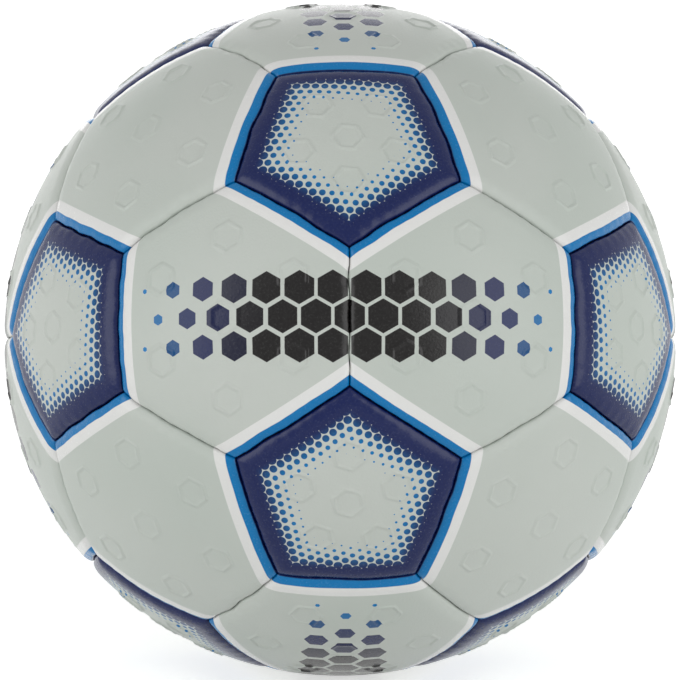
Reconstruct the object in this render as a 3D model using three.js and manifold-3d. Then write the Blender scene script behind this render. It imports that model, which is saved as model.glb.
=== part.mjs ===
// A size 3 handball. Twelve five-sided and twenty six-sided panels are sewn edge to edge into a
// truncated icosahedron, round an air bladder with a rubber needle valve.
// Millimetres, +Z up. The origin is the middle of the ball, which stands on a six-sided panel,
// and +X runs along the line between two opposite seams.

import * as THREE from "three";
import { mergeVertices } from "three/addons/utils/BufferGeometryUtils.js";
import Module from "manifold-3d";

const wasm = await Module();
wasm.setup();

// Casing
const CIRCUMFERENCE = 590; // round the crowns of the panels
const PANEL_THICKNESS = 2.6; // cover, foam and cloth backing, bonded into one sheet
const SEAM_GAP = 0.4; // between the edges of two neighbouring panels
const SEAM_DEPTH = 1.6; // from the crown down to the line where two edges meet
const EDGE_ROLL = 4.5; // width of the rounded edge that rolls down to a seam
const FLANGE_THICKNESS = 1.4; // the skived edge that is turned inwards and sewn
const FLANGE_DEPTH = 4.3; // how far that edge stands in from the panel's inner face
const FLANGE_FILLET = 0.8; // at the root of the turned edge, on the inside
const SEAT_DEPTH = 0.5; // the panel that the ball stands on is pressed flat this deep

// Thread and fits
const THREAD_DIAMETER = 0.9; // waxed thread, pulled tight in the fork of each seam
const CLEARANCE = 0.3; // between pieces that lie against each other
const BLADDER_CLEARANCE = 0.3; // between the bladder and what it is blown up against

// Bladder and valve
const BLADDER_WALL = 0.8;
const COLLAR_WALL = 0.9; // of the boot's collar, which shows in the hole of the valve panel
const COLLAR_RECESS = 0.7; // from the crown of the valve panel down to the collar
const BOOT_FLANGE_DIAMETER = 26; // bonded to the outside of the bladder
const BOOT_FLANGE_THICKNESS = 1.2;
const BOOT_FLOOR = 1.6; // closed end of the boot, below the plug
const BOOT_TAPER = 1.2; // how much the boot's closed end draws in, on the radius
const PATCH_DIAMETER = 34; // cloth patch that backs the valve panel round its hole
const PATCH_THICKNESS = 0.9;
const CORE_DIAMETER = 4.8; // the plug that seals the boot
const CORE_FLOOR = 4.8; // closed end of the plug, below the needle's channel
const CORE_TAPER = 1; // how much the plug's closed end draws in, on the radius
const CORE_HEAD_OVERHANG = 0.9; // how far the plug's head stands out past its stem
const CORE_HEAD_THICKNESS = 1.3;
const NEEDLE_MOUTH_DIAMETER = 2.4; // funnel that guides the needle of a pump
const NEEDLE_MOUTH_DEPTH = 2.2;
const NEEDLE_CHANNEL_DIAMETER = 1;
const NEEDLE_CHANNEL_LENGTH = 8;

// How finely curved faces are divided
const SIDE_STEPS = 3;
const ROLL_STEPS = 2;
const THREAD_STEPS = 4;
const BLADDER_DETAIL = 4;
const ROUND_STEPS = 20;
const DISH_STEPS = 3;
const MERGE_DISTANCE = 1e-3;

// Angle between the middles of a six-sided panel and of its seam with another one
const goldenRatio = (1 + Math.sqrt(5)) / 2;
const seamAngle = Math.atan(1 / goldenRatio ** 2);

// Radii from the middle of the ball
const crownRadius = CIRCUMFERENCE / (2 * Math.PI);
const innerFaceRadius = crownRadius - PANEL_THICKNESS;
const flangeTipRadius = innerFaceRadius - FLANGE_DEPTH;
const threadRadius = flangeTipRadius + THREAD_DIAMETER / 2;

// The middle of a flat facet lies a little inside the ball that its corners lie on.
const facetReach = (2 * seamAngle) / SIDE_STEPS / Math.sqrt(3);
const facetSag = innerFaceRadius * (1 - Math.cos(facetReach));

// The valve's stack, from the inner face of its panel inwards
const patchOuterRadius = innerFaceRadius - facetSag - CLEARANCE;
const bootOuterRadius = patchOuterRadius - PATCH_THICKNESS - CLEARANCE;
const bootInnerRadius = bootOuterRadius - BOOT_FLANGE_THICKNESS;
const bladderRadius = Math.min(flangeTipRadius, bootInnerRadius) - BLADDER_CLEARANCE;

// Insets from the middle plane of a seam, and the turned edge's section from crown to inner face
const edgeInset = SEAM_GAP / 2;
const tipInset = edgeInset + THREAD_DIAMETER / 2 + CLEARANCE;
const tipBackInset = tipInset + FLANGE_THICKNESS;
const rootInset = tipBackInset + FLANGE_FILLET;

const coverMaterial = new THREE.MeshStandardMaterial({ color: 0xc1c9c2, roughness: 0.48, metalness: 0 });
const threadMaterial = new THREE.MeshStandardMaterial({ color: 0x4a4d50, roughness: 0.8, metalness: 0 });
const bladderMaterial = new THREE.MeshStandardMaterial({ color: 0x2b2b2d, roughness: 0.6, metalness: 0 });
const patchMaterial = new THREE.MeshStandardMaterial({ color: 0xd8d4c8, roughness: 0.9, metalness: 0 });
const bootMaterial = new THREE.MeshStandardMaterial({ color: 0x1f1f21, roughness: 0.55, metalness: 0 });
const coreMaterial = new THREE.MeshStandardMaterial({ color: 0x3a3b3e, roughness: 0.5, metalness: 0 });

// Solids

function solidFrom(geometry) {
  const bare = new THREE.BufferGeometry();
  bare.setAttribute("position", geometry.getAttribute("position"));
  if (geometry.index) bare.setIndex(geometry.index);
  const merged = mergeVertices(bare, MERGE_DISTANCE);
  const vertProperties = new Float32Array(merged.getAttribute("position").array);
  const triVerts = new Uint32Array(merged.index.array);
  return new wasm.Manifold(new wasm.Mesh({ numProp: 3, vertProperties, triVerts }));
}

function geometryFrom(solid) {
  const mesh = solid.getMesh();
  const geometry = new THREE.BufferGeometry();
  geometry.setAttribute("position", new THREE.BufferAttribute(mesh.vertProperties, 3));
  geometry.setIndex(new THREE.BufferAttribute(mesh.triVerts, 1));
  return geometry;
}

function cut(geometry, ...tools) {
  const solid = tools.reduce((body, tool) => body.subtract(solidFrom(tool)), solidFrom(geometry));
  return geometryFrom(solid);
}

// A surface that is put together from rings of points.
class RingSurface {
  points = [];
  faces = [];

  ring(vectors) {
    const first = this.points.length;
    this.points.push(...vectors);
    return vectors.map((_, i) => first + i);
  }

  // Joins two rings of equally many points, with the first ring on the left of the way round.
  strip(near, far) {
    near.forEach((a, i) => {
      const next = (i + 1) % near.length;
      this.faces.push([a, far[i], far[next]], [a, far[next], near[next]]);
    });
  }

  geometry() {
    const geometry = new THREE.BufferGeometry().setFromPoints(this.points);
    geometry.setIndex(this.faces.flat());
    return geometry;
  }
}

// Panel outlines

const thirdOfTheWay = (from, to) => from.clone().multiplyScalar(2).add(to).normalize();

// A panel's outline on the unit ball: its middle, and its corners anticlockwise from outside.
function outlineOf(corners) {
  const middle = corners.reduce((sum, corner) => sum.add(corner), new THREE.Vector3()).normalize();
  const right = corners[0].clone().projectOnPlane(middle).normalize();
  const up = middle.clone().cross(right);
  const turn = (corner) => Math.atan2(corner.dot(up), corner.dot(right));
  const ordered = [...corners].sort((a, b) => turn(a) - turn(b));
  const seamNormal = ordered[0].clone().cross(ordered[1]).normalize();
  return { middle, corners: ordered, sides: ordered.length, reach: middle.dot(seamNormal) };
}

// The ball is an icosahedron with its corners cut off: a face leaves a six-sided panel, and a
// corner leaves a five-sided one. It is turned so that a face lies flat underneath.
function panelOutlines() {
  const stand = new THREE.Matrix4().makeRotationX(-seamAngle);
  stand.multiply(new THREE.Matrix4().makeRotationZ(Math.PI / 2));
  const position = new THREE.IcosahedronGeometry(1, 0).applyMatrix4(stand).getAttribute("position");
  const points = Array.from({ length: position.count }, (_, i) =>
    new THREE.Vector3().fromBufferAttribute(position, i),
  );
  const faces = Array.from({ length: points.length / 3 }, (_, i) => points.slice(3 * i, 3 * i + 3));
  const isFirst = (p, i) => points.findIndex((q) => q.distanceTo(p) < MERGE_DISTANCE) === i;
  const apexes = points.filter(isFirst);
  const edgeLength = faces[0][0].distanceTo(faces[0][1]);
  const areNeighbours = (p, q) => Math.abs(p.distanceTo(q) - edgeLength) < MERGE_DISTANCE;
  const hexagons = faces.map((face) =>
    outlineOf(face.flatMap((a) => face.filter((b) => b !== a).map((b) => thirdOfTheWay(a, b)))),
  );
  const pentagons = apexes.map((apex) => {
    const around = apexes.filter((other) => areNeighbours(apex, other));
    return outlineOf(around.map((other) => thirdOfTheWay(apex, other)));
  });
  return { hexagons, pentagons };
}

// A point of the outline's side, drawn in from the seam's middle plane by an inset, at a radius.
function pointOn(outline, side, share, inset, radius) {
  const flat = (corner) => corner.clone().divideScalar(corner.dot(outline.middle));
  const from = flat(outline.corners[side]);
  const to = flat(outline.corners[(side + 1) % outline.sides]);
  const seam = from.lerp(to, share);
  const scale = 1 - (inset * seam.length()) / (radius * outline.reach);
  return new THREE.Vector3().lerpVectors(outline.middle, seam, scale).setLength(radius);
}

function ringOf(outline, { inset, radius }, steps) {
  return Array.from({ length: outline.sides * steps }, (_, i) =>
    pointOn(outline, Math.floor(i / steps), (i % steps) / steps, inset, radius),
  );
}

// Fills the outline from its middle out to a rim, in rings that gain a step a side each time.
function fillOutline(surface, outline, rim, facesIn) {
  const rings = [surface.ring([outline.middle.clone().multiplyScalar(rim.radius)])];
  for (let steps = 1; steps <= SIDE_STEPS; steps++) {
    const share = steps / SIDE_STEPS;
    const points = ringOf(outline, rim, steps).map((point) =>
      point
        .divideScalar(point.dot(outline.middle))
        .lerpVectors(outline.middle, point, share)
        .setLength(rim.radius),
    );
    rings.push(surface.ring(points));
  }
  const add = (a, b, c) => surface.faces.push(facesIn ? [a, c, b] : [a, b, c]);
  for (let steps = 0; steps < SIDE_STEPS; steps++) {
    const near = rings[steps];
    const far = rings[steps + 1];
    for (let side = 0; side < outline.sides; side++) {
      for (let i = 0; i <= steps; i++) {
        const nearIndex = (side * steps + i) % near.length;
        const farIndex = side * (steps + 1) + i;
        const farNext = (farIndex + 1) % far.length;
        add(near[nearIndex], far[farIndex], far[farNext]);
        if (i < steps) add(near[nearIndex], far[farNext], near[(nearIndex + 1) % near.length]);
      }
    }
  }
  return rings[SIDE_STEPS];
}

// A panel: a dished sheet whose edge rolls down to the seam and is turned in as a sewn flange.
function panelGeometry(outline) {
  const roll = Array.from({ length: ROLL_STEPS + 1 }, (_, i) => {
    const angle = ((i / ROLL_STEPS) * Math.PI) / 2;
    return {
      inset: edgeInset + EDGE_ROLL * (1 - Math.sin(angle)),
      radius: crownRadius - SEAM_DEPTH * (1 - Math.cos(angle)),
    };
  });
  const flange = [
    { inset: tipInset, radius: flangeTipRadius },
    { inset: tipBackInset, radius: flangeTipRadius },
  ];
  const root = { inset: rootInset, radius: innerFaceRadius };
  const surface = new RingSurface();
  const crownRim = fillOutline(surface, outline, roll[0], false);
  const backRim = fillOutline(surface, outline, root, true);
  const between = [...roll.slice(1), ...flange].map((at) => surface.ring(ringOf(outline, at, SIDE_STEPS)));
  const rims = [crownRim, ...between, backRim];
  rims.slice(1).forEach((rim, i) => surface.strip(rims[i], rim));
  return surface.geometry();
}

// The thread runs in the fork of every seam and is locked where three seams meet. Each panel
// borders it with two faces, so its four-sided section closes from panel to panel.
function threadGeometry(outlines) {
  const half = THREAD_DIAMETER / 2;
  const surface = new RingSurface();
  for (const outline of outlines) {
    const line = (inset, radius) => surface.ring(ringOf(outline, { inset, radius }, THREAD_STEPS));
    const outer = line(0, threadRadius + half);
    const side = line(half, threadRadius);
    const inner = line(0, threadRadius - half);
    surface.strip(side, outer);
    surface.strip(inner, side);
  }
  return mergeVertices(surface.geometry(), MERGE_DISTANCE);
}

// Valve pieces are turned round the valve's axis: x is the distance from it, y from the ball's middle.

const at = (x, y) => new THREE.Vector2(x, y);

function turned(profile) {
  return new THREE.LatheGeometry(profile, ROUND_STEPS);
}

// Points along a dished face that follows the ball, from one distance off the axis to another.
function dish(radius, from, to) {
  return Array.from({ length: DISH_STEPS + 1 }, (_, i) => {
    const x = from + ((to - from) * i) / DISH_STEPS;
    return at(x, Math.sqrt(radius ** 2 - x ** 2));
  });
}

const stemRadius = CORE_DIAMETER / 2;
const headRadius = stemRadius + CORE_HEAD_OVERHANG;
const socketRadius = stemRadius + CLEARANCE;
const recessRadius = headRadius + CLEARANCE;
const collarRadius = recessRadius + COLLAR_WALL;
const holeRadius = collarRadius + CLEARANCE;

const collarTop = crownRadius - COLLAR_RECESS;
const headUnderside = collarTop - CORE_HEAD_THICKNESS;
const headSeat = headUnderside - CLEARANCE;
const mouthEnd = collarTop - NEEDLE_MOUTH_DEPTH;
const channelEnd = mouthEnd - NEEDLE_CHANNEL_LENGTH;
const coreEnd = channelEnd - CORE_FLOOR;
const socketEnd = coreEnd - CLEARANCE;
const bootEnd = socketEnd - BOOT_FLOOR;

function bootGeometry() {
  const flangeRadius = BOOT_FLANGE_DIAMETER / 2;
  const lowerFace = dish(bootInnerRadius, collarRadius, flangeRadius);
  const upperFace = dish(bootOuterRadius, flangeRadius, collarRadius);
  return turned([
    at(0, bootEnd),
    at(collarRadius - BOOT_TAPER, bootEnd),
    at(collarRadius, bootEnd + BOOT_TAPER),
    ...lowerFace,
    ...upperFace,
    at(collarRadius, collarTop),
    at(recessRadius, collarTop),
    at(recessRadius, headSeat),
    at(socketRadius, headSeat),
    at(socketRadius, socketEnd),
    at(0, socketEnd),
  ]);
}

function coreGeometry() {
  const mouthRadius = NEEDLE_MOUTH_DIAMETER / 2;
  const channelRadius = NEEDLE_CHANNEL_DIAMETER / 2;
  return turned([
    at(0, coreEnd),
    at(stemRadius - CORE_TAPER, coreEnd),
    at(stemRadius, coreEnd + CORE_TAPER),
    at(stemRadius, headUnderside),
    at(headRadius, headUnderside),
    at(headRadius, collarTop),
    at(mouthRadius, collarTop),
    at(channelRadius, mouthEnd),
    at(channelRadius, channelEnd),
    at(0, channelEnd),
  ]);
}

function patchGeometry() {
  const lowerFace = dish(patchOuterRadius - PATCH_THICKNESS, holeRadius, PATCH_DIAMETER / 2);
  const upperFace = dish(patchOuterRadius, PATCH_DIAMETER / 2, holeRadius);
  return turned([...lowerFace, ...upperFace, lowerFace[0]]);
}

// The valve sits in the middle of a six-sided panel at the back of the ball.
const towardsValve = new THREE.Vector3(-0.6, 0.7, 0.3);
const nearestTo = (outlines, direction) =>
  outlines.reduce((best, o) => (o.middle.dot(direction) > best.middle.dot(direction) ? o : best));

const { hexagons, pentagons } = panelOutlines();
const valveOutline = nearestTo(hexagons, towardsValve);
const seatOutline = nearestTo(hexagons, new THREE.Vector3(0, 0, -1));
const valveTurn = new THREE.Quaternion().setFromUnitVectors(new THREE.Vector3(0, 1, 0), valveOutline.middle);

// A round hole for the collar, right through the casing or the bladder along the valve's axis
function valveHole() {
  const hole = new THREE.CylinderGeometry(holeRadius, holeRadius, crownRadius, ROUND_STEPS);
  return hole.translate(0, crownRadius, 0).applyQuaternion(valveTurn);
}

function seatBlock() {
  const side = 2 * crownRadius;
  return new THREE.BoxGeometry(side, side, side).translate(0, 0, SEAT_DEPTH - crownRadius - side / 2);
}

function bladderGeometry() {
  const outside = new THREE.IcosahedronGeometry(bladderRadius, BLADDER_DETAIL);
  const inside = new THREE.IcosahedronGeometry(bladderRadius - BLADDER_WALL, BLADDER_DETAIL);
  return cut(outside, inside, valveHole());
}

// Assembly

const ball = new THREE.Group();
ball.name = "handball";

function addPiece(name, geometry, material, parent = ball) {
  const mesh = new THREE.Mesh(geometry, material);
  mesh.name = name;
  parent.add(mesh);
}

// Panels are numbered from the top of the ball down, and round it from +X.
function inOrder(outlines) {
  const row = (o) => Math.round(o.middle.z * 100);
  const turn = (o) => (Math.atan2(o.middle.y, o.middle.x) + 2 * Math.PI) % (2 * Math.PI);
  return [...outlines].sort((a, b) => row(b) - row(a) || turn(a) - turn(b));
}

const twoDigits = (number) => String(number).padStart(2, "0");

inOrder(pentagons).forEach((outline, i) => {
  addPiece(`pentagon_panel_${twoDigits(i + 1)}`, panelGeometry(outline), coverMaterial);
});

const plainHexagons = hexagons.filter((outline) => outline !== valveOutline && outline !== seatOutline);
inOrder(plainHexagons).forEach((outline, i) => {
  addPiece(`hexagon_panel_${twoDigits(i + 1)}`, panelGeometry(outline), coverMaterial);
});
addPiece("valve_panel", cut(panelGeometry(valveOutline), valveHole()), coverMaterial);
addPiece("seat_panel", cut(panelGeometry(seatOutline), seatBlock()), coverMaterial);

addPiece("seam_thread", threadGeometry([...pentagons, ...hexagons]), threadMaterial);
addPiece("bladder", bladderGeometry(), bladderMaterial);

const valve = new THREE.Group();
valve.name = "valve";
valve.quaternion.copy(valveTurn);
ball.add(valve);
addPiece("valve_patch", patchGeometry(), patchMaterial, valve);
addPiece("valve_boot", bootGeometry(), bootMaterial, valve);
addPiece("valve_core", coreGeometry(), coreMaterial, valve);

export default ball;
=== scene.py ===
"""A sewn handball on a pale floor, under soft studio light.

The casing has 12 five-sided and 20 six-sided panels. One blank of each kind is modelled at the top of the
ball, then copied to every panel's place and drawn in along its seams there. The valve, its patch and the
bladder are modelled at the top of the ball too, and turned to the valve's place. Sizes are in millimetres
until a mesh takes them, in metres. The stage's sizes are in metres throughout.
"""

import math
from contextlib import contextmanager

import bmesh
import bpy
import numpy as np
from mathutils import Matrix, Vector


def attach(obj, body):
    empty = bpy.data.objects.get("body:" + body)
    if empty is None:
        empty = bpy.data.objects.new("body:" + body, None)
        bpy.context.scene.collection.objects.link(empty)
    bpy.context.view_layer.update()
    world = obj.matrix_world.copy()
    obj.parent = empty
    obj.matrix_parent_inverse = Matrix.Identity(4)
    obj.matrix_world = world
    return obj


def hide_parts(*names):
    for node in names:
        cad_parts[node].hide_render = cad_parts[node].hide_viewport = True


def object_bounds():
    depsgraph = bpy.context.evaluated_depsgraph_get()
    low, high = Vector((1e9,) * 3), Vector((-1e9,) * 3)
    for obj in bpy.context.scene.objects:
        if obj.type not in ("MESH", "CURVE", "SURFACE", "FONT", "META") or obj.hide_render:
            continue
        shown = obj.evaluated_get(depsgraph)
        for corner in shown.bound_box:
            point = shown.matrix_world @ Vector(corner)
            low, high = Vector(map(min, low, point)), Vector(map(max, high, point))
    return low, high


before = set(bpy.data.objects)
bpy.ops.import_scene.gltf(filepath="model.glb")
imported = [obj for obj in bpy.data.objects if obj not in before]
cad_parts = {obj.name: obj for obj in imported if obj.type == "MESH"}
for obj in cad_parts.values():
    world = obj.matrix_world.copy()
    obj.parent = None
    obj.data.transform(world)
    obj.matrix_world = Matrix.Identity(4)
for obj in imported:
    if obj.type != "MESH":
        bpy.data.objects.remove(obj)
cad_box = [list(corner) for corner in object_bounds()]

MM = 0.001
BALL_RADIUS = cad_box[1][2] / MM
SEAT_Z = cad_box[0][2] / MM

# The panels' sheet and its turned-in edge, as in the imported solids
PANEL_THICKNESS = 2.6
SEAM_DEPTH = 1.6
EDGE_ROLL = 4.5
FLANGE_DEPTH = 4.3
FLANGE_TIP_INSET = 0.95
FLANGE_BACK_INSET = 2.35
FLANGE_ROOT_INSET = 3.15
INNER_RADIUS = BALL_RADIUS - PANEL_THICKNESS
FLANGE_TIP_RADIUS = INNER_RADIUS - FLANGE_DEPTH

# How the thread draws the panels' edges together
CLOSED_GAP = 0.1
STITCHES_PER_SEAM = 9
PUCKER_ROLL = 0.1
PUCKER_GAP = 0.07
ROLL_CHANGE = 0.18
SEAM_WANDER = 0.4
WANDER_FADE = 6.0
DRAW_REACH = 3.5
PANEL_SLACK = 0.12
SLACK_FADE = 12.0

# Smooth fields over the ball: waves from side to side, and seed
WANDER_FIELD = (19, 3)
ROLL_FIELD = (9, 5)
SLACK_FIELD = (4, 8)
FIELD_PARTS = 5

# Raised marks on the cover, which are small open hexagons
MARK_WIDTH = 7.4
MARK_LINE = 1.1
MARK_HEIGHT = 0.42
HEXAGON_MARK_RING = 22.0
PENTAGON_MARK_RING = 14.0

# The valve and the bladder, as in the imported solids
STEM_RADIUS = 2.4
HEAD_RADIUS = 3.3
SOCKET_RADIUS = 2.7
RECESS_RADIUS = 3.6
COLLAR_RADIUS = 4.5
HOLE_RADIUS = 4.8
MOUTH_RADIUS = 1.2
CHANNEL_RADIUS = 0.5
COLLAR_DEPTH = 0.7
HEAD_HEIGHT = 1.3
MOUTH_DEPTH = 2.2
CHANNEL_LENGTH = 8.0
CLOSED_END = 4.8
SOCKET_FLOOR = 1.6
CLEARANCE = 0.3
TAPER = 1.1
COLLAR_TOP = BALL_RADIUS - COLLAR_DEPTH
HEAD_UNDERSIDE = COLLAR_TOP - HEAD_HEIGHT
HEAD_SEAT = HEAD_UNDERSIDE - CLEARANCE
MOUTH_END = COLLAR_TOP - MOUTH_DEPTH
CHANNEL_END = MOUTH_END - CHANNEL_LENGTH
CORE_END = CHANNEL_END - CLOSED_END
SOCKET_END = CORE_END - CLEARANCE
BOOT_END = SOCKET_END - SOCKET_FLOOR
BOOT_FLANGE_RADIUS = 13.0
BOOT_OUTER_RADIUS = 88.9
BOOT_INNER_RADIUS = 87.7
PATCH_RADIUS = 17.0
PATCH_OUTER_RADIUS = 90.1
PATCH_THICKNESS = 0.9
BLADDER_RADIUS = 86.7
BLADDER_WALL = 0.8
BLADDER_NECK = 3.0
VALVE_DIP = 0.35
VALVE_DIP_REACH = 8.0
HOLE_CUT_LENGTH = 20.0

# Rounding of the valve's edges
BOOT_ROUNDING = 0.22
CORE_ROUNDING = 0.2
PATCH_ROUNDING = 0.15
ROUNDED_FROM = math.radians(40)
SHARP_FROM = math.radians(35)

# Fineness of the meshes
PANEL_CUTS = 84
RING_CROWDING = 0.35
BACKING_RINGS = (0.66, 0.33)
TURN_STEPS = 72
DISH_STEPS = 10
ROUNDING_STEPS = 3
BLADDER_SUBDIVISIONS = 6
THREAD_SUBDIVISIONS = 2

# Smoothing thins the thread, so it is fattened first.
THREAD_FATTENING = 0.2

# Vertices nearer than this are one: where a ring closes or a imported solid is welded, and beside a cut hole
SAME_PLACE = 0.001
SLIVER = 0.02

GOLDEN_RATIO = (1 + math.sqrt(5)) / 2
TOP = np.array([0.0, 0.0, 1.0])
FAR_AWAY = 1000.0
TINY = 1e-9

# This direction lies in no seam's plane, so it tells each seam's two sides apart.
SEAM_SIDE = np.array([0.61, 0.37, 0.70])


# Tools for meshes


def select_only(obj):
    bpy.ops.object.select_all(action="DESELECT")
    obj.select_set(True)
    bpy.context.view_layer.objects.active = obj


@contextmanager
def edit_mode(obj):
    select_only(obj)
    bpy.ops.object.mode_set(mode="EDIT")
    yield
    bpy.ops.object.mode_set(mode="OBJECT")


def new_piece(name):
    """Names the primitive that was just added and puts its place into its mesh."""
    obj = bpy.context.object
    obj.name = name
    obj.data.name = name
    bpy.ops.object.transform_apply(location=True, rotation=True, scale=True)
    return obj


def copy_piece(source, name):
    copy = bpy.data.objects.new(name, source.data.copy())
    copy.data.name = name
    bpy.context.scene.collection.objects.link(copy)
    return copy


def apply_modifier(obj, kind, **settings):
    select_only(obj)
    modifier = obj.modifiers.new(kind.title(), kind)
    for key, value in settings.items():
        setattr(modifier, key, value)
    bpy.ops.object.modifier_apply(modifier=modifier.name)


def turn_faces_outwards(obj):
    with edit_mode(obj):
        bpy.ops.mesh.select_all(action="SELECT")
        bpy.ops.mesh.normals_make_consistent(inside=False)


def mesh_points(obj):
    """Vertex places in millimetres."""
    flat = np.empty(len(obj.data.vertices) * 3)
    obj.data.vertices.foreach_get("co", flat)
    return flat.reshape(-1, 3) / MM


def set_mesh_points(obj, points):
    obj.data.vertices.foreach_set("co", (points * MM).ravel())
    obj.data.update()


def set_point_attribute(obj, name, values):
    old = obj.data.attributes.get(name)
    if old:
        obj.data.attributes.remove(old)
    attribute = obj.data.attributes.new(name, "FLOAT_VECTOR", "POINT")
    attribute.data.foreach_set("vector", np.ascontiguousarray(values).ravel())


def hand_over(obj, node, material):
    """Gives a finished piece its material and its place in the frame."""
    obj.data.materials.clear()
    obj.data.materials.append(material)
    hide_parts(node)
    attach(obj, "root")


def unit(vectors):
    return vectors / np.linalg.norm(vectors, axis=-1, keepdims=True)


# The two kinds of panel


class PanelKind:
    """One kind of panel, with its middle at the top of the ball.

    A slope is the tangent of the angle between the panel's middle and a seam or corner, seen from the middle
    of the ball. It is also a distance on the plane that touches a ball of radius 1 at the panel's middle.
    """

    def __init__(self, sides, seam_slope, first_seam_turn, mark_ring):
        self.sides = sides
        self.seam_slope = seam_slope
        self.corner_slope = seam_slope / math.cos(math.pi / sides)
        self.corner_reach = BALL_RADIUS * math.atan(self.corner_slope)
        self.reach = math.sin(math.atan(seam_slope))
        self.first_corner_turn = first_seam_turn + math.pi / sides
        turns = first_seam_turn + 2 * math.pi * np.arange(sides) / sides
        self.outward = np.stack([np.cos(turns), np.sin(turns), 0 * turns], axis=1)
        self.sideways = np.stack([-np.sin(turns), np.cos(turns), 0 * turns], axis=1)
        self.seam_middle = unit(self.outward * seam_slope + TOP)
        self.inward = unit(TOP * seam_slope - self.outward)
        half_seam_slope = seam_slope * math.tan(math.pi / sides) * math.cos(math.atan(seam_slope))
        self.seam_length = 2 * BALL_RADIUS * math.atan(half_seam_slope)
        corner_turns = turns + math.pi / sides
        self.mark_places = mark_ring * np.stack([np.cos(corner_turns), np.sin(corner_turns)], axis=1)

    def seam_distances(self, directions):
        """Distance of each direction from each seam's plane, at the ball's surface."""
        return BALL_RADIUS * directions @ self.inward.T

    def seam_positions(self, directions):
        """How far along each seam a direction lies, from the seam's middle."""
        return BALL_RADIUS * np.arctan2(directions @ self.sideways.T, directions @ self.seam_middle.T)

    def inset(self, outline, inset, radius):
        """Moves places on the outline inwards, square to the seams at that radius."""
        length = np.sqrt(1 + (outline ** 2).sum(axis=1))
        scale = 1 - inset * length / (radius * self.reach)
        return outline * scale[:, None]


# Half of the turn from one corner to the next
HEXAGON_HALF_TURN = math.pi / 6
PENTAGON_HALF_TURN = math.pi / 5

# Both kinds share their seams' length, which gives the pentagon's slope.
hexagon_slope = 1 / GOLDEN_RATIO ** 2
hexagon_corner = math.atan(hexagon_slope / math.cos(HEXAGON_HALF_TURN))
pentagon_corner = math.asin(math.sin(hexagon_corner) / (2 * math.sin(PENTAGON_HALF_TURN)))
pentagon_slope = math.tan(pentagon_corner) * math.cos(PENTAGON_HALF_TURN)

# A hexagon's first seam faces +X and joins it to a pentagon, as every second one does.
# A pentagon's first corner faces +X.
HEXAGON = PanelKind(6, hexagon_slope, 0.0, HEXAGON_MARK_RING)
PENTAGON = PanelKind(5, pentagon_slope, -PENTAGON_HALF_TURN, PENTAGON_MARK_RING)
PENTAGON_SIDE_SEAMS = (0, 2, 4)

# The turned-in edge, ring by ring: inset from the seam, and radius
EDGE_RINGS = (
    (FLANGE_TIP_INSET, FLANGE_TIP_RADIUS),
    (FLANGE_BACK_INSET, FLANGE_TIP_RADIUS),
    (FLANGE_ROOT_INSET, INNER_RADIUS),
)


def model_sheet(name, kind):
    """A flat sheet of fine triangles with the rings of a turned-in edge and a back, not yet drawn to shape.

    Each vertex keeps the number of its layer: 0 on the face, then the rings of the edge, then those of the
    back and its middle.
    """
    bpy.ops.object.select_all(action="DESELECT")
    bpy.ops.mesh.primitive_circle_add(
        vertices=kind.sides, radius=kind.corner_slope, fill_type="TRIFAN", location=(0, 0, 1)
    )
    sheet = new_piece(name)
    with edit_mode(sheet):
        bpy.ops.mesh.select_all(action="SELECT")
        bpy.ops.mesh.subdivide(number_cuts=PANEL_CUTS)
        bpy.ops.mesh.select_all(action="DESELECT")
        bpy.ops.mesh.select_mode(type="EDGE")
        bpy.ops.mesh.select_non_manifold()
        for layer in range(1, len(EDGE_RINGS) + len(BACKING_RINGS) + 2):
            bpy.ops.mesh.extrude_region()
            mesh = bmesh.from_edit_mesh(sheet.data)
            layer_of = mesh.verts.layers.int.get("layer") or mesh.verts.layers.int.new("layer")
            for vertex in mesh.verts:
                if vertex.select:
                    vertex[layer_of] = layer
            bmesh.update_edit_mesh(sheet.data)
        bpy.ops.mesh.merge(type="CENTER")
    return sheet


def sheet_layout(sheet, kind):
    """Each vertex's place on the touching plane, turned to suit the kind's first corner, and its layer."""
    points = mesh_points(sheet) * MM
    corner = points[np.argmax(np.hypot(points[:, 0], points[:, 1]))]
    turn = kind.first_corner_turn - math.atan2(corner[1], corner[0])
    spin = np.array([[math.cos(turn), -math.sin(turn)], [math.sin(turn), math.cos(turn)]])
    layer = np.empty(len(points), dtype=np.int32)
    sheet.data.attributes["layer"].data.foreach_get("value", layer)
    sheet.data.attributes.remove(sheet.data.attributes["layer"])
    return points[:, :2] @ spin.T, layer


def lift(places):
    """Directions from the middle of the ball to places on the touching plane."""
    return unit(np.column_stack([places, np.ones(len(places))]))


def surface_places(directions):
    """Places over the surface, from the panel's middle, of directions in the panel's own frame."""
    angle = np.arccos(np.clip(directions[:, 2], -1, 1))
    sideways = np.hypot(directions[:, 0], directions[:, 1])
    scale = np.divide(angle, sideways, out=np.ones(len(angle)), where=sideways > TINY)
    return BALL_RADIUS * directions[:, :2] * scale[:, None]


def wobble(directions, field):
    """A smooth seeded field over the ball, from -1 to 1."""
    waves, seed = field
    draw = np.random.default_rng(seed)
    total = np.zeros(len(directions))
    for _ in range(FIELD_PARTS):
        axis = unit(draw.normal(size=3))
        total += np.sin(waves * math.pi * directions @ axis + draw.uniform(0, 2 * math.pi))
    return total / FIELD_PARTS


def smooth_step(share):
    share = np.clip(share, 0, 1)
    return share * share * (3 - 2 * share)


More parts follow.
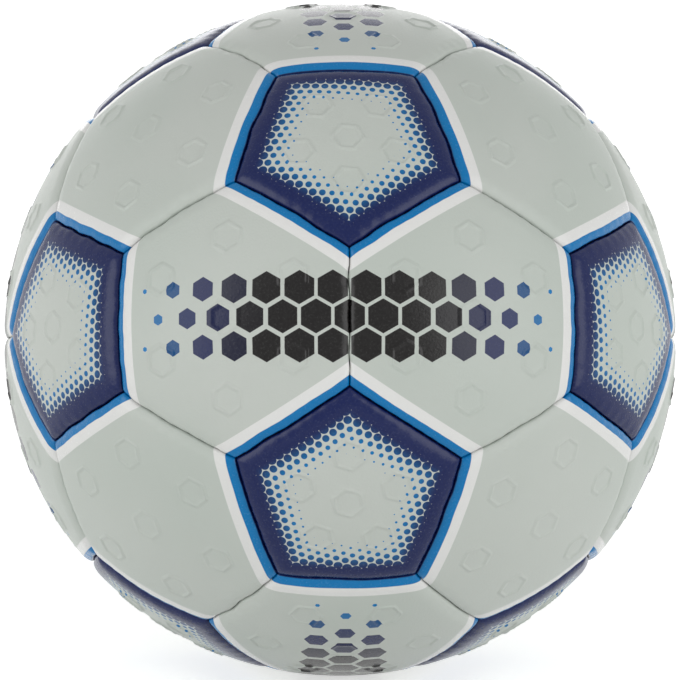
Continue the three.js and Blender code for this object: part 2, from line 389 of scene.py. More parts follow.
def mark_height(kind, places):
    """Height of the raised marks at places on the panel."""
    turns = kind.first_corner_turn + HEXAGON_HALF_TURN * (1 + 2 * np.arange(3))
    across = np.stack([np.cos(turns), np.sin(turns)])
    height = np.zeros(len(places))
    for middle in [(0.0, 0.0), *kind.mark_places]:
        off_line = np.abs(np.abs((places - middle) @ across).max(axis=1) - MARK_WIDTH / 2)
        height = np.maximum(height, MARK_HEIGHT * smooth_step(1 - off_line / (MARK_LINE / 2)))
    return height


class Blank:
    """A panel's blank at the top of the ball, and where its cover rests before the seams draw it in."""

    def __init__(self, name, kind):
        self.kind = kind
        self.piece = model_sheet(name, kind)
        self.places, self.layer = sheet_layout(self.piece, kind)
        share = (self.places @ kind.outward[:, :2].T).max(axis=1) / kind.seam_slope
        to_rim = np.divide(1.0, share, out=np.zeros(len(share)), where=share > TINY)
        self.outline = self.places * to_rim[:, None]
        crowded_share = share * (1 + RING_CROWDING * (1 - share))
        self.rest = lift(kind.inset(self.outline, CLOSED_GAP / 2, BALL_RADIUS) * crowded_share[:, None])

        set_mesh_points(self.piece, self.points(np.identity(3)))
        turn_faces_outwards(self.piece)
        set_print_places(self.piece, kind, self.rest)
        map_for_baking(self)
        select_only(self.piece)
        bpy.ops.object.shade_smooth()

    def points(self, turn):
        """Vertex places of a panel, which a turn takes from the top of the ball to the panel's own place.

        Both sides of a seam wander the same way. Neither moves where three seams meet.
        """
        kind = self.kind
        on_ball = self.rest @ turn.T
        inward = kind.inward @ turn.T
        distances = kind.seam_distances(self.rest)
        along = kind.seam_positions(self.rest)
        fade = smooth_step((kind.seam_length / 2 - np.abs(along)) / WANDER_FADE)
        wander = SEAM_WANDER * wobble(on_ball, WANDER_FIELD)[:, None] * np.sign(inward @ SEAM_SIDE)
        pull = 0.5 + 0.5 * np.cos(2 * math.pi * along * STITCHES_PER_SEAM / kind.seam_length)
        drawn = (wander + PUCKER_GAP * pull) * fade * np.exp(-(distances / DRAW_REACH) ** 2)
        directions = unit(on_ball + drawn @ inward / BALL_RADIUS)

        roll_change = PUCKER_ROLL * (pull * fade - 0.5) + ROLL_CHANGE * wobble(on_ball, ROLL_FIELD)[:, None]
        rolled = np.clip((distances - CLOSED_GAP / 2) / (EDGE_ROLL * (1 + roll_change)), 0, 1)
        rolls = SEAM_DEPTH * (1 - np.sqrt(1 - (1 - rolled) ** 2))
        dip = np.cbrt((rolls ** 3).sum(axis=1))
        off_seams = smooth_step(distances.min(axis=1) / SLACK_FADE)
        slack = PANEL_SLACK * np.abs(wobble(on_ball, SLACK_FIELD)) * off_seams
        raised = mark_height(kind, surface_places(self.rest))
        points = directions * (BALL_RADIUS - dip - slack + raised)[:, None]

        for number, (inset, radius) in enumerate(EDGE_RINGS, start=1):
            here = self.layer == number
            points[here] = lift(kind.inset(self.outline[here], inset, radius)) @ turn.T * radius
        for number, part in enumerate(BACKING_RINGS, start=len(EDGE_RINGS) + 1):
            here = self.layer == number
            root = kind.inset(self.outline[here], FLANGE_ROOT_INSET, INNER_RADIUS)
            points[here] = lift(root * part) @ turn.T * INNER_RADIUS
        points[self.layer > len(EDGE_RINGS) + len(BACKING_RINGS)] = turn[:, 2] * INNER_RADIUS
        return points


# Islands of the panels' UV map. The edge's island has one ring for each layer.
FACE_MAP_MIDDLE = np.array([0.41, 0.47])
FACE_MAP_SIZE = 0.46
EDGE_MAP_MIDDLE = np.array([0.9, 0.9])
EDGE_MAP_SIZE = 0.085
EDGE_MAP_RINGS = np.array([1.0, 0.86, 0.8, 0.72, 0.48, 0.24, 0.0])


def map_for_baking(blank):
    """A UV map with the panel's face in one large island, and its edge and back in a small one beside it."""
    mesh = blank.piece.data
    corner_vertex = np.empty(len(mesh.loops), dtype=np.int32)
    mesh.loops.foreach_get("vertex_index", corner_vertex)
    corners_of_face = np.empty(len(mesh.polygons), dtype=np.int32)
    mesh.polygons.foreach_get("loop_total", corners_of_face)
    face_of_corner = np.repeat(np.arange(len(mesh.polygons)), corners_of_face)
    is_edge = np.zeros(len(mesh.polygons), dtype=bool)
    np.logical_or.at(is_edge, face_of_corner, blank.layer[corner_vertex] > 0)

    face_share = surface_places(blank.rest) / blank.kind.corner_reach
    edge_share = blank.places / blank.kind.corner_slope * EDGE_MAP_RINGS[blank.layer][:, None]
    on_face = FACE_MAP_MIDDLE + FACE_MAP_SIZE * face_share
    on_edge = EDGE_MAP_MIDDLE + EDGE_MAP_SIZE * edge_share
    uv = np.where(is_edge[face_of_corner][:, None], on_edge[corner_vertex], on_face[corner_vertex])
    mesh.uv_layers.new(name="OFBake").data.foreach_set("uv", uv.ravel())


def set_print_places(obj, kind, directions):
    """What the print follows, for each vertex's direction in the panel's own frame.

    That is its place on the panel, and its distance from the seam between the two kinds of panel, which is
    negative on a pentagon.
    """
    distances = kind.seam_distances(directions)
    if kind is HEXAGON:
        sided = distances[:, PENTAGON_SIDE_SEAMS].min(axis=1)
    else:
        sided = -distances.min(axis=1)
    set_point_attribute(obj, "print_place", np.column_stack([surface_places(directions), sided]))


# Where the panels are on the ball


def node_middle(name):
    """The direction of a panel's middle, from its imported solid."""
    return unit(unit(mesh_points(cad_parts[name])).mean(axis=0))


def panel_turn(middle, towards):
    """The turn that takes the top of the ball to a panel's middle, and +X towards another point."""
    ahead = unit(towards - middle * (towards @ middle))
    return np.column_stack([ahead, np.cross(middle, ahead), middle])


def pentagon_turn(name):
    middle = node_middle(name)
    neighbour = pentagon_middles[np.argsort(-(pentagon_middles @ middle))[1]]
    return panel_turn(middle, neighbour)


def hexagon_turn(name):
    near = pentagon_middles[np.argsort(-(pentagon_middles @ node_middle(name)))[:3]]
    return panel_turn(unit(near.sum(axis=0)), near[0])


pentagon_nodes = [name for name in sorted(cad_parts) if name.startswith("pentagon_panel")]
hexagon_nodes = [name for name in sorted(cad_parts) if name.startswith("hexagon_panel")]
hexagon_nodes += ["valve_panel", "seat_panel"]
pentagon_middles = np.array([node_middle(name) for name in pentagon_nodes])
valve_turn = hexagon_turn("valve_panel")


def band_turns():
    """Frames of the six printed bands: along the band, across it, and out of the ball.

    The bands lie across the seams at both ends of three square axes, of which one is X.
    """
    tilt = math.atan(hexagon_slope)
    axes = np.array([[1, 0, 0], [0, math.cos(tilt), -math.sin(tilt)], [0, math.sin(tilt), math.cos(tilt)]])
    middles = np.array([hexagon_turn(name)[:, 2] for name in hexagon_nodes])
    turns = []
    for axis in np.concatenate([axes, -axes]):
        first, second = middles[np.argsort(-(middles @ axis))[:2]]
        turns.append(panel_turn(axis, first - second))
    return turns


BANDS = band_turns()
BAND_PANEL_ANGLE = math.radians(25)


def set_band_places(obj, turn):
    """Places along and across the printed band that reaches onto a hexagon, or far off where none does."""
    places = np.full((len(obj.data.vertices), 3), FAR_AWAY)
    for band in BANDS:
        if turn[:, 2] @ band[:, 2] > math.cos(BAND_PANEL_ANGLE):
            directions = unit(mesh_points(obj)) @ band
            ahead = np.arctan2(directions[:, 0], directions[:, 2])
            aside = np.arcsin(directions[:, 1])
            places = BALL_RADIUS * np.column_stack([ahead, aside, 0 * ahead])
    set_point_attribute(obj, "band_place", places)


# Tools for materials


def screen_colour(red, green, blue):
    """A colour given as sRGB screen values from 0 to 255, in the linear form that a shader takes."""
    shares = [value / 255 for value in (red, green, blue)]
    return tuple(s / 12.92 if s <= 0.04045 else ((s + 0.055) / 1.055) ** 2.4 for s in shares) + (1.0,)


# Sockets of a Mix node for colours, which share their names with its other kinds
FIRST_COLOUR = 6
SECOND_COLOUR = 7
MIXED_COLOUR = 2


class NodeSheet:
    """Adds nodes to a tree, with links or plain values for their inputs."""

    def __init__(self, tree):
        self.tree = tree

    def add(self, kind, inputs=(), **settings):
        node = self.tree.nodes.new(kind)
        for key, value in settings.items():
            setattr(node, key, value)
        for key, value in dict(inputs).items():
            self.feed(node.inputs[key], value)
        return node

    def feed(self, socket, value):
        if isinstance(value, bpy.types.NodeSocket):
            self.tree.links.new(value, socket)
        else:
            socket.default_value = value

    def group(self, tree, **inputs):
        node = self.add("ShaderNodeGroup", node_tree=tree)
        for key, value in inputs.items():
            self.feed(node.inputs[key], value)
        return node.outputs

    def math(self, operation, *values):
        return self.add("ShaderNodeMath", enumerate(values), operation=operation).outputs[0]

    def vector(self, operation, *values):
        return self.add("ShaderNodeVectorMath", enumerate(values), operation=operation).outputs[0]

    def scaled(self, vector, scale):
        inputs = {"Vector": vector, "Scale": scale}
        return self.add("ShaderNodeVectorMath", inputs, operation="SCALE").outputs["Vector"]

    def length(self, vector):
        return self.add("ShaderNodeVectorMath", [(0, vector)], operation="LENGTH").outputs["Value"]

    def ramp(self, value, start, end, low=0.0, high=1.0):
        """Eases from low to high as the value goes from start to end."""
        inputs = {"Value": value, "From Min": start, "From Max": end, "To Min": low, "To Max": high}
        return self.add("ShaderNodeMapRange", inputs, interpolation_type="SMOOTHSTEP").outputs["Result"]

    def slope(self, value, start, end, low=0.0, high=1.0):
        """Goes straight from low to high as the value goes from start to end."""
        inputs = {"Value": value, "From Min": start, "From Max": end, "To Min": low, "To Max": high}
        return self.add("ShaderNodeMapRange", inputs).outputs["Result"]

    def mix(self, share, first, second):
        """Goes from the first colour to the second as the share goes from 0 to 1."""
        inputs = {"Factor": share, FIRST_COLOUR: first, SECOND_COLOUR: second}
        return self.add("ShaderNodeMix", inputs, data_type="RGBA").outputs[MIXED_COLOUR]

    def noise(self, place, scale, detail=2.0):
        inputs = {"Vector": place, "Scale": scale, "Detail": detail}
        return self.add("ShaderNodeTexNoise", inputs).outputs["Fac"]

    def attribute(self, name):
        return self.add("ShaderNodeAttribute", attribute_name=name).outputs["Vector"]

    def object_place(self):
        return self.add("ShaderNodeTexCoord").outputs["Object"]

    def sees_backdrop(self):
        """1 for rays that show the white backdrop, straight or in a reflection, and 0 for rays of light."""
        rays = self.add("ShaderNodeLightPath").outputs
        direct = self.math("MAXIMUM", rays["Is Camera Ray"], rays["Is Transmission Ray"])
        return self.math("MAXIMUM", direct, rays["Is Glossy Ray"])

    def parts(self, vector):
        return self.add("ShaderNodeSeparateXYZ", {"Vector": vector}).outputs

    def joined(self, x, y, z):
        return self.add("ShaderNodeCombineXYZ", {"X": x, "Y": y, "Z": z}).outputs["Vector"]

    def bump(self, shader, height, strength, distance):
        bump = self.add("ShaderNodeBump", {"Strength": strength, "Distance": distance, "Height": height})
        self.feed(shader.inputs["Normal"], bump.outputs["Normal"])


def new_group(name, inputs, outputs):
    """A new node group's tree, the sheet to fill it with, what it is given and what it puts out."""
    tree = bpy.data.node_groups.new(name, "ShaderNodeTree")
    for label, kind in inputs.items():
        tree.interface.new_socket(label, in_out="INPUT", socket_type=kind)
    for label, kind in outputs.items():
        tree.interface.new_socket(label, in_out="OUTPUT", socket_type=kind)
    sheet = NodeSheet(tree)
    return tree, sheet, sheet.add("NodeGroupInput").outputs, sheet.add("NodeGroupOutput").inputs


def new_material(name):
    material = bpy.data.materials.new(name)
    material.use_nodes = True
    return material, NodeSheet(material.node_tree), material.node_tree.nodes["Principled BSDF"]


FLOAT = "NodeSocketFloat"
VECTOR = "NodeSocketVector"
PRINT_BLUR = 0.09
GRAIN_DETAIL = 3.0

# Most of a noise lies in the narrow range, and nearly all of it in the wide one.
NARROW_NOISE = (0.35, 0.65)
WIDE_NOISE = (0.3, 0.7)


def line_group():
    """A printed line: 1 over its width, which starts at a distance from a seam."""
    tree, sheet, given, result = new_group(
        "Printed line", {"Distance": FLOAT, "Start": FLOAT, "Width": FLOAT}, {"Mask": FLOAT}
    )
    half = sheet.math("MULTIPLY", given["Width"], 0.5)
    middle = sheet.math("ADD", given["Start"], half)
    off_middle = sheet.math("ABSOLUTE", sheet.math("SUBTRACT", given["Distance"], middle))
    outside = sheet.math("SUBTRACT", off_middle, half)
    sheet.feed(result["Mask"], sheet.ramp(outside, PRINT_BLUR, -PRINT_BLUR))
    return tree


def lattice_group():
    """Rows of points, each row half a pitch off the next: the nearest point, and how a place lies off it."""
    tree, sheet, given, result = new_group(
        "Print lattice", {"Place": VECTOR, "Pitch": FLOAT}, {"Nearest": VECTOR, "Off": VECTOR}
    )
    half_pitch = sheet.math("MULTIPLY", given["Pitch"], 0.5)
    row_pitch = sheet.math("MULTIPLY", half_pitch, math.sqrt(3))
    half_cell = sheet.joined(half_pitch, row_pitch, 0.0)
    low = sheet.vector("MULTIPLY", half_cell, (-1, -1, -1))
    place = sheet.vector("MULTIPLY", given["Place"], (1, 1, 0))
    even = sheet.vector("WRAP", place, half_cell, low)
    odd = sheet.vector("WRAP", sheet.vector("ADD", place, half_cell), half_cell, low)
    odd_is_nearer = sheet.math("LESS_THAN", sheet.length(odd), sheet.length(even))
    off = sheet.vector("ADD", even, sheet.scaled(sheet.vector("SUBTRACT", odd, even), odd_is_nearer))
    sheet.feed(result["Nearest"], sheet.vector("SUBTRACT", place, off))
    sheet.feed(result["Off"], off)
    return tree


def grain_group():
    """Fine grain of a coated or moulded surface: its height, and a tone that drifts slowly over the piece."""
    tree, sheet, given, result = new_group(
        "Surface grain", {"Place": VECTOR, "Grain": FLOAT, "Drift": FLOAT}, {"Height": FLOAT, "Tone": FLOAT}
    )
    sheet.feed(result["Height"], sheet.noise(given["Place"], given["Grain"], GRAIN_DETAIL))
    sheet.feed(result["Tone"], sheet.ramp(sheet.noise(given["Place"], given["Drift"]), *NARROW_NOISE))
    return tree


PRINTED_LINE = line_group()
PRINT_LATTICE = lattice_group()
SURFACE_GRAIN = grain_group()

# Colours of the cover, its inks and the pieces inside
COVER_PALE = screen_colour(188, 193, 187)
COVER_COOL = screen_colour(182, 189, 182)
INK_WHITE = screen_colour(218, 218, 216)
INK_NAVY = screen_colour(8, 24, 76)
INK_BLUE = screen_colour(0, 112, 172)
INK_CHARCOAL = screen_colour(24, 22, 22)
BLADDER_BLACK = screen_colour(38, 38, 40)
BLADDER_BLOOM = screen_colour(50, 50, 52)
SLEEVE_BLACK = screen_colour(28, 28, 30)
SLEEVE_BLOOM = screen_colour(38, 38, 40)
PLUG_GREY = screen_colour(54, 55, 58)
PLUG_BLOOM = screen_colour(66, 67, 70)
# The cotton's two colours are painted shade for the weave's hollows and a painted lighter tone for its
# crossings.
COTTON_SHADED = screen_colour(196, 190, 176)
COTTON_LIT = screen_colour(222, 217, 205)
THREAD_DARK = screen_colour(58, 61, 64)
THREAD_PALE = screen_colour(92, 95, 98)

# Grain, gloss and relief of each finish. A relief is a bump's strength and its height.
# Ink is a little thinner on the highest grain.
COVER_GRAIN = 1500.0
COVER_DRIFT = 14.0
COVER_ROUGHNESS = (0.36, 0.44)
COVER_SPECULAR = 0.22
COVER_RELIEF = (0.45, 0.12 * MM)
INK_GLOSS = 0.16
INK_THINNED_AT = (0.35, 0.7)
INK_THINNED_TO = 0.988
RUBBER_GRAIN = 1600.0
RUBBER_DRIFT = 90.0
RUBBER_RELIEF = (0.3, 0.1 * MM)
BLADDER_ROUGHNESS = (0.5, 0.62)
SLEEVE_ROUGHNESS = (0.45, 0.57)
PLUG_ROUGHNESS = (0.42, 0.54)
WEAVE_PITCH = 0.9
COTTON_ROUGHNESS = 0.9
COTTON_RELIEF = (0.6, 0.12 * MM)
THREAD_LAY = (900.0, 900.0, 2600.0)
THREAD_ROUGHNESS = (0.5, 0.75)
THREAD_RELIEF = (0.5, 0.1 * MM)

# Lines along the seams between the two kinds of panel
WHITE_START = 2.7
WHITE_WIDTH = 3.0
BLUE_WIDTH = 2.7
UNDER_SEAM = 0.5

# Rings of dots in the pentagons. The inks change over shares of a ring's width.
DOT_PITCH = 2.6
RING_WIDTH = 15.5
RING_SOLID = 2.2
FULL_DOT = 1.85
RING_NAVY_TO = 0.3 * RING_WIDTH
RING_BLUE_FROM = 0.8 * RING_WIDTH

# Bands of cells across the seams. The inks change over shares of half a band's length.
CELL_PITCH = 9.0
CELL_WIDTH = 8.2
BAND_LENGTH = 124.0
BAND_HEIGHT = 26.0
BAND_TAPER = 3.0
BAND_CHARCOAL_TO = 0.4
BAND_NAVY_AT = 0.7
BAND_BLUE_FROM = 0.95


def cover_material():
    """Coated cover with a fine grain, printed round the pentagons and across six seams."""
    material, sheet, shader = new_material("printed cover")
    place = sheet.attribute("print_place")
    sided = sheet.parts(place)["Z"]
    inside = sheet.math("MULTIPLY", sided, -1.0)
    grain = sheet.group(SURFACE_GRAIN, Place=sheet.object_place(), Grain=COVER_GRAIN, Drift=COVER_DRIFT)

    white = sheet.group(PRINTED_LINE, Distance=sided, Start=WHITE_START, Width=WHITE_WIDTH)["Mask"]
    blue = sheet.group(
        PRINTED_LINE, Distance=sided, Start=-UNDER_SEAM / 2, Width=BLUE_WIDTH + UNDER_SEAM / 2
    )["Mask"]

    ring_radius = sheet.slope(inside, RING_WIDTH, RING_SOLID, 0.0, FULL_DOT)
    ring_lattice = sheet.group(PRINT_LATTICE, Place=place, Pitch=DOT_PITCH)
    off_dot = sheet.math("SUBTRACT", sheet.length(ring_lattice["Off"]), ring_radius)
    on_pentagon = sheet.ramp(inside, -UNDER_SEAM, -UNDER_SEAM / 2)
    ring = sheet.math("MULTIPLY", sheet.ramp(off_dot, PRINT_BLUR, -PRINT_BLUR), on_pentagon)
    ring_ink = sheet.mix(sheet.ramp(inside, RING_NAVY_TO, RING_BLUE_FROM), INK_NAVY, INK_BLUE)

    band_lattice = sheet.group(PRINT_LATTICE, Place=sheet.attribute("band_place"), Pitch=CELL_PITCH)
    cell = sheet.parts(sheet.vector("ABSOLUTE", band_lattice["Nearest"]))
    reach = sheet.math("DIVIDE", cell["X"], BAND_LENGTH / 2)
    fullness = sheet.math("SUBTRACT", 1.0, sheet.math("POWER", reach, BAND_TAPER))
    off = sheet.parts(sheet.vector("ABSOLUTE", band_lattice["Off"]))
    slanted = sheet.math(
        "ADD", sheet.math("MULTIPLY", off["X"], 0.5), sheet.math("MULTIPLY", off["Y"], math.sqrt(3) / 2)
    )
    off_middle = sheet.math("MAXIMUM", off["X"], slanted)
    off_cell = sheet.math("SUBTRACT", off_middle, sheet.math("MULTIPLY", fullness, CELL_WIDTH / 2))
    in_rows = sheet.math("LESS_THAN", cell["Y"], BAND_HEIGHT / 2)
    band = sheet.math("MULTIPLY", sheet.ramp(off_cell, PRINT_BLUR, -PRINT_BLUR), in_rows)
    band_ink = sheet.mix(sheet.ramp(reach, BAND_CHARCOAL_TO, BAND_NAVY_AT), INK_CHARCOAL, INK_NAVY)
    band_ink = sheet.mix(sheet.ramp(reach, BAND_NAVY_AT, BAND_BLUE_FROM), band_ink, INK_BLUE)

    cover = sheet.mix(grain["Tone"], COVER_PALE, COVER_COOL)
    inks = sheet.mix(blue, INK_WHITE, INK_BLUE)
    inks = sheet.mix(ring, inks, ring_ink)
    inks = sheet.mix(band, inks, band_ink)
    inked = sheet.math("MAXIMUM", sheet.math("MAXIMUM", white, blue), sheet.math("MAXIMUM", ring, band))
    thinned = sheet.ramp(grain["Height"], *INK_THINNED_AT, 1.0, INK_THINNED_TO)
    coverage = sheet.math("MULTIPLY", inked, thinned)
    sheet.feed(shader.inputs["Base Color"], sheet.mix(coverage, cover, inks))

    gloss = sheet.math("MULTIPLY", inked, INK_GLOSS)
    rough = sheet.ramp(grain["Height"], *WIDE_NOISE, *COVER_ROUGHNESS)
    sheet.feed(shader.inputs["Roughness"], sheet.math("SUBTRACT", rough, gloss))
    sheet.bump(shader, grain["Height"], *COVER_RELIEF)
    shader.inputs["Specular IOR Level"].default_value = COVER_SPECULAR
    return material


def rubber_material(name, dark, bloom, roughness):
    """Moulded rubber with a dull bloom."""
    material, sheet, shader = new_material(name)
    grain = sheet.group(SURFACE_GRAIN, Place=sheet.object_place(), Grain=RUBBER_GRAIN, Drift=RUBBER_DRIFT)
    sheet.feed(shader.inputs["Base Color"], sheet.mix(grain["Tone"], dark, bloom))
    sheet.feed(shader.inputs["Roughness"], sheet.ramp(grain["Tone"], 0, 1, *roughness))
    sheet.bump(shader, grain["Height"], *RUBBER_RELIEF)
    return material


def patch_material():
    """Plain-woven cotton, painted with shade in the weave's hollows and lighter on its crossings."""
    material, sheet, shader = new_material("woven patch")
    parts = sheet.parts(sheet.attribute("weave_place"))
    thread_turns = 2 * math.pi / WEAVE_PITCH
    warp = sheet.math("SINE", sheet.math("MULTIPLY", parts["X"], thread_turns))
    weft = sheet.math("SINE", sheet.math("MULTIPLY", parts["Y"], thread_turns))
    weave = sheet.math("MULTIPLY", warp, weft)
    # The weave's height sets the colour: painted shade in the hollows, and a lighter tone on the crossings.
    tone = sheet.ramp(weave, -1, 1)
    sheet.feed(shader.inputs["Base Color"], sheet.mix(tone, COTTON_SHADED, COTTON_LIT))
    shader.inputs["Roughness"].default_value = COTTON_ROUGHNESS
    sheet.bump(shader, weave, *COTTON_RELIEF)
    return material


def thread_material():
    """Waxed thread with a twisted lay."""
    material, sheet, shader = new_material("waxed thread")
    place = sheet.object_place()
    lay = sheet.noise(sheet.vector("MULTIPLY", place, THREAD_LAY), 1.0)
    tone = sheet.ramp(lay, *NARROW_NOISE)
    sheet.feed(shader.inputs["Base Color"], sheet.mix(tone, THREAD_DARK, THREAD_PALE))
    sheet.feed(shader.inputs["Roughness"], sheet.ramp(lay, *WIDE_NOISE, *THREAD_ROUGHNESS))
    sheet.bump(shader, lay, *THREAD_RELIEF)
    return material


# Panels

hexagon_blank = Blank("hexagon_blank", HEXAGON)
pentagon_blank = Blank("pentagon_blank", PENTAGON)
printed_cover = cover_material()


def cut_valve_hole(panel, turn):
    """Cuts the hole for the valve's collar through the middle of a panel."""
    bpy.ops.object.select_all(action="DESELECT")
    bpy.ops.mesh.primitive_cylinder_add(
        vertices=TURN_STEPS,
        radius=HOLE_RADIUS * MM,
        depth=HOLE_CUT_LENGTH * MM,
        location=(0, 0, BALL_RADIUS * MM),
    )
    cutter = new_piece("valve_hole")
    cutter.data.transform(Matrix(turn.tolist()).to_4x4())
    apply_modifier(panel, "BOOLEAN", object=cutter, operation="DIFFERENCE", solver="EXACT")
    bpy.data.objects.remove(cutter)
    with edit_mode(panel):
        bpy.ops.mesh.select_all(action="SELECT")
        bpy.ops.mesh.remove_doubles(threshold=SLIVER * MM)
    set_print_places(panel, HEXAGON, unit(mesh_points(panel)) @ turn)
    panel.data.uv_layers.remove(panel.data.uv_layers["OFBake"])


for node in pentagon_nodes:
    panel = copy_piece(pentagon_blank.piece, node.replace("panel", "cover"))
    set_mesh_points(panel, pentagon_blank.points(pentagon_turn(node)))
    set_point_attribute(panel, "band_place", np.full((len(panel.data.vertices), 3), FAR_AWAY))
    hand_over(panel, node, printed_cover)

for node in hexagon_nodes:
    turn = hexagon_turn(node)
    points = hexagon_blank.points(turn)
    if node == "valve_panel":
        off_valve = BALL_RADIUS * np.arccos(np.clip(unit(points) @ turn[:, 2], -1, 1))
        sunk = VALVE_DIP * np.exp(-(off_valve / VALVE_DIP_REACH) ** 2) * (hexagon_blank.layer == 0)
        points -= unit(points) * sunk[:, None]
    if node == "seat_panel":
        points[:, 2] = np.maximum(points[:, 2], SEAT_Z)
    panel = copy_piece(hexagon_blank.piece, node.replace("panel", "cover"))
    set_mesh_points(panel, points)
    if node == "valve_panel":
        cut_valve_hole(panel, turn)
    set_band_places(panel, turn)
    hand_over(panel, node, printed_cover)

for blank in (hexagon_blank, pentagon_blank):
    bpy.data.objects.remove(blank.piece)


# Thread, bladder and valve


def model_thread():
    """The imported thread, made round: its four-sided section is fattened and then smoothed."""
    thread = copy_piece(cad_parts["seam_thread"], "sewing_thread")
    with edit_mode(thread):
        bpy.ops.mesh.select_all(action="SELECT")
        bpy.ops.mesh.remove_doubles(threshold=SAME_PLACE * MM)
        bpy.ops.mesh.tris_convert_to_quads()
        bpy.ops.transform.shrink_fatten(value=THREAD_FATTENING * MM)
    apply_modifier(thread, "SUBSURF", levels=THREAD_SUBDIVISIONS, render_levels=THREAD_SUBDIVISIONS)
    select_only(thread)
    bpy.ops.object.shade_smooth()
    return thread


def turned(name, profile, is_ring=False):
    """A piece turned round +Z from points of its profile, given as distance from the axis and height.

    A ring's profile ends where it starts. Another profile's ends are closed across the axis.
    """
    start_radius, start_height = profile[0]
    bpy.ops.object.select_all(action="DESELECT")
    bpy.ops.mesh.primitive_circle_add(
        vertices=TURN_STEPS, radius=start_radius * MM, location=(0, 0, start_height * MM)
    )
    piece = new_piece(name)
    with edit_mode(piece):
        bpy.ops.mesh.select_all(action="SELECT")
        for (radius, height), (next_radius, next_height) in zip(profile, profile[1:]):
            scale = next_radius / radius
            bpy.ops.mesh.extrude_region()
            bpy.ops.transform.translate(value=(0, 0, (next_height - height) * MM))
            bpy.ops.transform.resize(value=(scale, scale, 1), center_override=(0, 0, next_height * MM))
        bpy.ops.mesh.select_all(action="SELECT")
        if is_ring:
            bpy.ops.mesh.remove_doubles(threshold=SAME_PLACE * MM)
        else:
            bpy.ops.mesh.fill_holes(sides=0)
        bpy.ops.mesh.normals_make_consistent(inside=False)
    return piece


def dish(radius, start, end):
    """Profile points of a face that follows the ball at a radius."""
    off_axis = np.linspace(start, end, DISH_STEPS + 1)
    return [(float(x), math.sqrt(radius ** 2 - x ** 2)) for x in off_axis]


def smooth_curves(piece):
    """Shades a piece smooth, apart from its sharp edges."""
    select_only(piece)
    bpy.ops.object.shade_smooth_by_angle(angle=SHARP_FROM)


def round_edges(piece, width):
    """Rounds a piece's sharp edges and shades the rest smooth."""
    apply_modifier(
        piece,
        "BEVEL",
        width=width * MM,
        segments=ROUNDING_STEPS,
        limit_method="ANGLE",
        angle_limit=ROUNDED_FROM,
    )
    smooth_curves(piece)


def put_in_valve_place(piece):
    """Turns a piece from the top of the ball to the valve's place."""
    piece.data.transform(Matrix(valve_turn.tolist()).to_4x4())


def model_boot():
    """The valve's sleeve: a closed tube with a flange on the bladder and a collar in the panel's hole."""
    boot = turned("valve_sleeve", [
        (COLLAR_RADIUS - TAPER, BOOT_END),
        (COLLAR_RADIUS, BOOT_END + TAPER),
        *dish(BOOT_INNER_RADIUS, COLLAR_RADIUS, BOOT_FLANGE_RADIUS),
        *dish(BOOT_OUTER_RADIUS, BOOT_FLANGE_RADIUS, COLLAR_RADIUS),
        (COLLAR_RADIUS, COLLAR_TOP),
        (RECESS_RADIUS, COLLAR_TOP),
        (RECESS_RADIUS, HEAD_SEAT),
        (SOCKET_RADIUS, HEAD_SEAT),
        (SOCKET_RADIUS, SOCKET_END),
    ])
    round_edges(boot, BOOT_ROUNDING)
    put_in_valve_place(boot)
    return boot


def model_core():
    """The plug in the sleeve: a head, a stem and a needle channel that ends closed."""
    core = turned("valve_plug", [
        (STEM_RADIUS - TAPER, CORE_END),
        (STEM_RADIUS, CORE_END + TAPER),
        (STEM_RADIUS, HEAD_UNDERSIDE),
        (HEAD_RADIUS, HEAD_UNDERSIDE),
        (HEAD_RADIUS, COLLAR_TOP),
        (MOUTH_RADIUS, COLLAR_TOP),
        (CHANNEL_RADIUS, MOUTH_END),
        (CHANNEL_RADIUS, CHANNEL_END),
    ])
    round_edges(core, CORE_ROUNDING)
    put_in_valve_place(core)
    return core


def model_patch():
    """The ring of cloth behind the valve's panel."""
    lower = dish(PATCH_OUTER_RADIUS - PATCH_THICKNESS, HOLE_RADIUS, PATCH_RADIUS)
    upper = dish(PATCH_OUTER_RADIUS, PATCH_RADIUS, HOLE_RADIUS)
    patch = turned("backing_patch", [*lower, *upper, lower[0]], is_ring=True)
    round_edges(patch, PATCH_ROUNDING)
    set_point_attribute(patch, "weave_place", mesh_points(patch))
    put_in_valve_place(patch)
    return patch


def model_bladder():
    """A thin ball that opens at the valve, with a short neck turned in round the valve's sleeve."""
    bpy.ops.object.select_all(action="DESELECT")
    bpy.ops.mesh.primitive_ico_sphere_add(subdivisions=BLADDER_SUBDIVISIONS, radius=BLADDER_RADIUS * MM)
    bladder = new_piece("air_bladder")
    opening = math.sqrt(BLADDER_RADIUS ** 2 - HOLE_RADIUS ** 2)
    with edit_mode(bladder):
        bpy.ops.mesh.select_all(action="SELECT")
        bpy.ops.mesh.bisect(plane_co=(0, 0, opening * MM), plane_no=(0, 0, 1), clear_outer=True)
        bpy.ops.mesh.select_all(action="DESELECT")
        bpy.ops.mesh.select_mode(type="EDGE")
        bpy.ops.mesh.select_non_manifold()
        bpy.ops.mesh.extrude_region()
        bpy.ops.transform.translate(value=(0, 0, -BLADDER_NECK * MM))
        bpy.ops.mesh.select_all(action="SELECT")
        bpy.ops.mesh.normals_make_consistent(inside=False)
    apply_modifier(bladder, "SOLIDIFY", thickness=BLADDER_WALL * MM, offset=-1)
    smooth_curves(bladder)
    put_in_valve_place(bladder)
    return bladder


bladder_rubber = rubber_material("bladder rubber", BLADDER_BLACK, BLADDER_BLOOM, BLADDER_ROUGHNESS)
sleeve_rubber = rubber_material("sleeve rubber", SLEEVE_BLACK, SLEEVE_BLOOM, SLEEVE_ROUGHNESS)
plug_rubber = rubber_material("plug rubber", PLUG_GREY, PLUG_BLOOM, PLUG_ROUGHNESS)

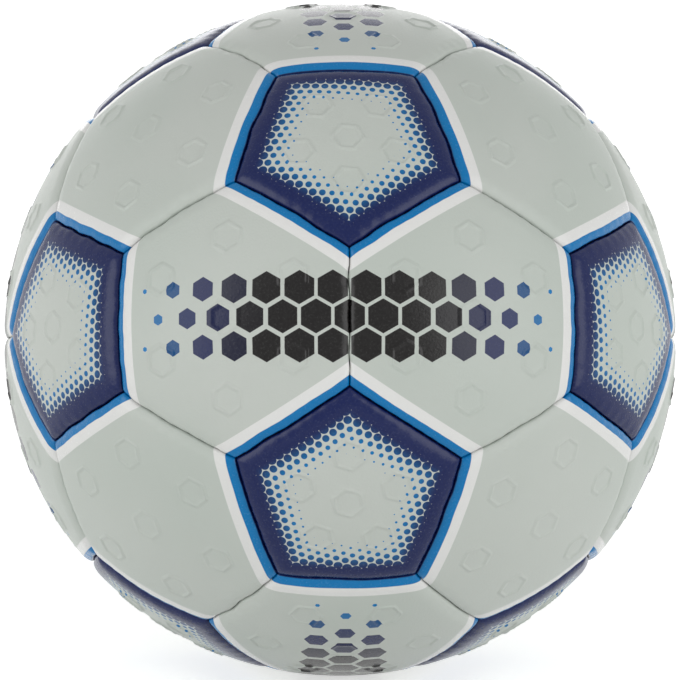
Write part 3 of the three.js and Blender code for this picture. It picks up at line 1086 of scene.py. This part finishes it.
hand_over(model_thread(), "seam_thread", thread_material())
hand_over(model_bladder(), "bladder", bladder_rubber)
hand_over(model_patch(), "valve_patch", patch_material())
hand_over(model_boot(), "valve_boot", sleeve_rubber)
hand_over(model_core(), "valve_core", plug_rubber)

# Floor, light and camera

WHITE = (1.0, 1.0, 1.0, 1.0)
FLOOR_COLOUR = (0.88, 0.89, 0.88, 1.0)
FLOOR_ROUGHNESS = 0.9
FLOOR_SIZE = 12.0
WORLD_LIGHT = 0.44

# The floor glows only where it is seen: less near the ball, where its shadow shows, and fully further off.
FLOOR_GLOW = (0.56, 1.0)
GLOW_RISE = (0.5, 1.5)

bpy.ops.object.select_all(action="DESELECT")
bpy.ops.mesh.primitive_plane_add(size=FLOOR_SIZE, location=(0, 0, SEAT_Z * MM))
floor = new_piece("floor")
floor_material, floor_sheet, floor_shader = new_material("pale floor")
floor_shader.inputs["Base Color"].default_value = FLOOR_COLOUR
floor_shader.inputs["Roughness"].default_value = FLOOR_ROUGHNESS
floor_shader.inputs["Emission Color"].default_value = WHITE
off_ball = floor_sheet.length(floor_sheet.object_place())
glow = floor_sheet.ramp(off_ball, *GLOW_RISE, *FLOOR_GLOW)
seen_glow = floor_sheet.math("MULTIPLY", floor_sheet.sees_backdrop(), glow)
floor_sheet.feed(floor_shader.inputs["Emission Strength"], seen_glow)
floor.data.materials.append(floor_material)

studio = bpy.data.worlds.new("studio")
studio.use_nodes = True
bpy.context.scene.world = studio
studio_sheet = NodeSheet(studio.node_tree)
backdrop = studio.node_tree.nodes["Background"]
backdrop.inputs["Color"].default_value = WHITE
world_strength = studio_sheet.slope(studio_sheet.sees_backdrop(), 0, 1, WORLD_LIGHT, 1.0)
studio_sheet.feed(backdrop.inputs["Strength"], world_strength)


def add_softbox(name, place, size, power):
    """A rectangular lamp that faces the ball."""
    data = bpy.data.lights.new(name, "AREA")
    data.shape = "RECTANGLE"
    data.size, data.size_y = size
    data.energy = power
    lamp = bpy.data.objects.new(name, data)
    bpy.context.scene.collection.objects.link(lamp)
    lamp.location = place
    lamp.rotation_euler = (-Vector(place)).to_track_quat("-Z", "Y").to_euler()


add_softbox("left softbox", place=(-2.01, -1.01, 0.6), size=(1.65, 1.85), power=28.8)
add_softbox("right softbox", place=(1.82, -1.3, 0.68), size=(1.76, 1.76), power=28.8)
add_softbox("back softbox", place=(0.0, 2.1, 0.25), size=(1.6, 1.0), power=7.0)

# The camera looks at the middle of the ball.
CAMERA_ELEVATION = math.radians(16.945)
CAMERA_AZIMUTH = math.radians(-1.663)
CAMERA_ROLL = math.radians(0.468)
CAMERA_DISTANCE = 21.06 * BALL_RADIUS * MM
CAMERA_LENS = 374.1

camera_data = bpy.data.cameras.new("camera")
camera_data.lens = CAMERA_LENS
camera = bpy.data.objects.new("camera", camera_data)
bpy.context.scene.collection.objects.link(camera)
facing = (
    Matrix.Rotation(CAMERA_AZIMUTH, 4, "Z")
    @ Matrix.Rotation(math.pi / 2 - CAMERA_ELEVATION, 4, "X")
    @ Matrix.Rotation(CAMERA_ROLL, 4, "Z")
)
camera.matrix_world = facing @ Matrix.Translation((0, 0, CAMERA_DISTANCE))
bpy.context.scene.camera = camera
bpy.context.scene.view_settings.view_transform = "Standard"
